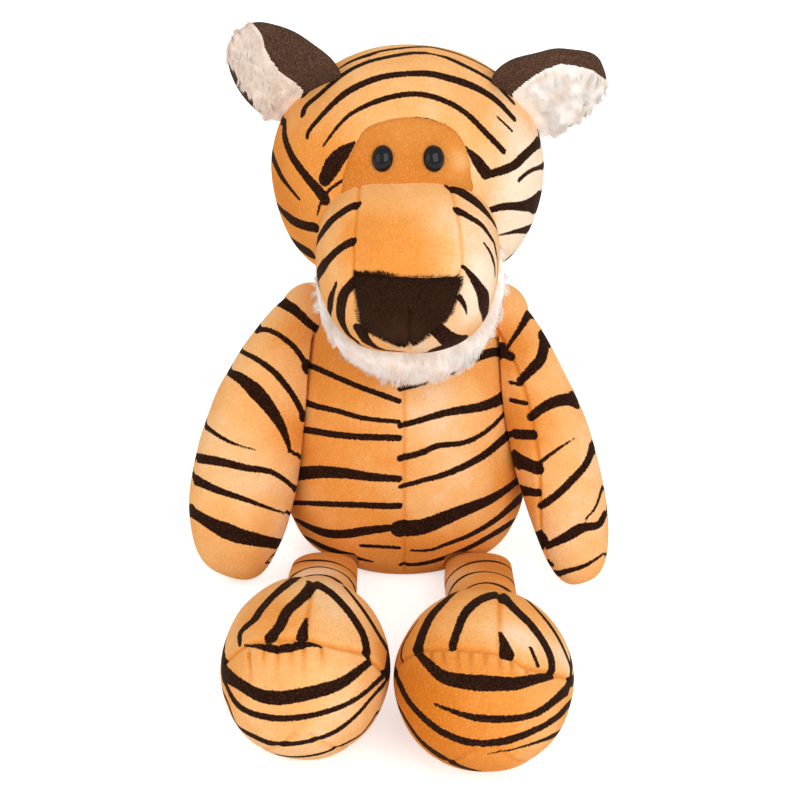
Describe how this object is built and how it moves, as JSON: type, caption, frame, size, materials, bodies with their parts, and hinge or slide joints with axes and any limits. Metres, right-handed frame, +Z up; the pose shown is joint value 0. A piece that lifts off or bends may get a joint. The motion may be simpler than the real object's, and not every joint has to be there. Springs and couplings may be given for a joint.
{
  "type": "plush tiger",
  "caption": "Sitting stuffed tiger sewn from striped plush panels, with a big snout, furry ears, safety eyes, hanging arms, gathered feet and a tail.",
  "frame": {"origin": "on the surface that the toy sits on, under the middle of its seat", "axes": "+Z up, the toy looks along -Y, its own left side is at +X"},
  "size_m": [0.202, 0.3904, 0.2748],
  "materials": {
    "orange_plush": "short-pile plush with printed dark stripes",
    "deep_orange_plush": "short-pile plush, airbrushed",
    "brown_plush": "short-pile plush",
    "white_fur": "long fluffy pile",
    "filling": "polyester fibre",
    "seam_fabric": "folded plush",
    "eye_plastic": "glossy black",
    "washer_plastic": "plain white"
  },
  "bodies": {
    "torso": {"torso_front_left": "orange_plush", "torso_front_right": "orange_plush", "torso_back_left": "orange_plush", "torso_back_right": "orange_plush", "seat_panel": "deep_orange_plush", "torso_stuffing": "filling"},
    "neck_ring": {"neck_seam": "seam_fabric"},
    "head": {"head_front": "orange_plush", "head_back": "orange_plush", "head_stuffing": "filling", "face_patch": "deep_orange_plush", "snout_bridge": "deep_orange_plush", "snout_side_left": "orange_plush", "snout_side_right": "orange_plush", "nose": "brown_plush", "snout_stuffing": "filling", "beard": "white_fur", "eye_left": "eye_plastic", "eye_right": "eye_plastic", "eye_left_washer": "washer_plastic", "eye_right_washer": "washer_plastic"},
    "ear_left": {"ear_left_front": "white_fur", "ear_left_back": "brown_plush"},
    "ear_right": {"ear_right_front": "white_fur", "ear_right_back": "brown_plush"},
    "shoulder_ring_left": {"shoulder_seam_left": "seam_fabric"},
    "shoulder_ring_right": {"shoulder_seam_right": "seam_fabric"},
    "arm_left": {"arm_left_front": "orange_plush", "arm_left_back": "orange_plush", "arm_left_stuffing": "filling"},
    "arm_right": {"arm_right_front": "orange_plush", "arm_right_back": "orange_plush", "arm_right_stuffing": "filling"},
    "leg_left": {"leg_left_skin": "orange_plush", "leg_left_stuffing": "filling"},
    "leg_right": {"leg_right_skin": "orange_plush", "leg_right_stuffing": "filling"},
    "foot_left": {"foot_left_instep_inner": "orange_plush", "foot_left_instep_outer": "orange_plush", "foot_left_toe_cap": "orange_plush", "foot_left_sole": "deep_orange_plush", "foot_left_stuffing": "filling"},
    "foot_right": {"foot_right_instep_inner": "orange_plush", "foot_right_instep_outer": "orange_plush", "foot_right_toe_cap": "orange_plush", "foot_right_sole": "deep_orange_plush", "foot_right_stuffing": "filling"},
    "tail_ring": {"tail_seam": "seam_fabric"},
    "tail": {"tail_skin": "orange_plush", "tail_tip": "brown_plush", "tail_stuffing": "filling"}
  },
  "joints": [
    {"name": "neck_turn", "type": "hinge", "parent": "torso", "child": "neck_ring", "pos_m": [0, 0.02, 0.15], "axis": [0, 0, 1], "range_deg": [-20, 20], "stiffness_Nm_per_rad": 1},
    {"name": "neck_nod", "type": "hinge", "parent": "neck_ring", "child": "head", "pos_m": [0, 0.02, 0.15], "axis": [-1, 0, 0], "range_deg": [-2, 16], "stiffness_Nm_per_rad": 2},
    {"name": "ear_left_fold", "type": "hinge", "parent": "head", "child": "ear_left", "pos_m": [0.0516, 0.0015, 0.23728], "axis": [0, 1, 0], "range_deg": [-6, 6], "stiffness_Nm_per_rad": 0.05},
    {"name": "ear_right_fold", "type": "hinge", "parent": "head", "child": "ear_right", "pos_m": [-0.0444, 0.0015, 0.24142], "axis": [0, -1, 0], "range_deg": [-6, 6], "stiffness_Nm_per_rad": 0.05},
    {"name": "shoulder_left_raise", "type": "hinge", "parent": "torso", "child": "shoulder_ring_left", "pos_m": [0.0455, 0.0165, 0.122], "axis": [0, -1, 0], "range_deg": [0, 70], "stiffness_Nm_per_rad": 0.3},
    {"name": "shoulder_left_swing", "type": "hinge", "parent": "shoulder_ring_left", "child": "arm_left", "pos_m": [0.0455, 0.0165, 0.122], "axis": [1, 0, 0], "range_deg": [-45, 0], "stiffness_Nm_per_rad": 0.3},
    {"name": "shoulder_right_raise", "type": "hinge", "parent": "torso", "child": "shoulder_ring_right", "pos_m": [-0.0455, 0.0165, 0.122], "axis": [0, 1, 0], "range_deg": [0, 70], "stiffness_Nm_per_rad": 0.3},
    {"name": "shoulder_right_swing", "type": "hinge", "parent": "shoulder_ring_right", "child": "arm_right", "pos_m": [-0.0455, 0.0165, 0.122], "axis": [1, 0, 0], "range_deg": [-45, 0], "stiffness_Nm_per_rad": 0.3},
    {"name": "hip_left_lift", "type": "hinge", "parent": "torso", "child": "leg_left", "pos_m": [0.036, -0.0343, 0.0095], "axis": [-1, 0, 0], "range_deg": [-10, 35], "stiffness_Nm_per_rad": 0.5},
    {"name": "hip_right_lift", "type": "hinge", "parent": "torso", "child": "leg_right", "pos_m": [-0.0388, -0.0343, 0.0095], "axis": [-1, 0, 0], "range_deg": [-10, 35], "stiffness_Nm_per_rad": 0.5},
    {"name": "ankle_left_flex", "type": "hinge", "parent": "leg_left", "child": "foot_left", "pos_m": [0.036, -0.112, 0.026], "axis": [-1, 0, 0], "range_deg": [-15, 15], "stiffness_Nm_per_rad": 0.3},
    {"name": "ankle_right_flex", "type": "hinge", "parent": "leg_right", "child": "foot_right", "pos_m": [-0.0388, -0.103, 0.026], "axis": [-1, 0, 0], "range_deg": [-15, 15], "stiffness_Nm_per_rad": 0.3},
    {"name": "tail_swing", "type": "hinge", "parent": "torso", "child": "tail_ring", "pos_m": [0, 0.048, 0.0104], "axis": [0, 0, 1], "range_deg": [-35, 35], "stiffness_Nm_per_rad": 0.3},
    {"name": "tail_lift", "type": "hinge", "parent": "tail_ring", "child": "tail", "pos_m": [0, 0.048, 0.0104], "axis": [1, 0, 0], "range_deg": [0, 50], "stiffness_Nm_per_rad": 0.6}
  ]
}
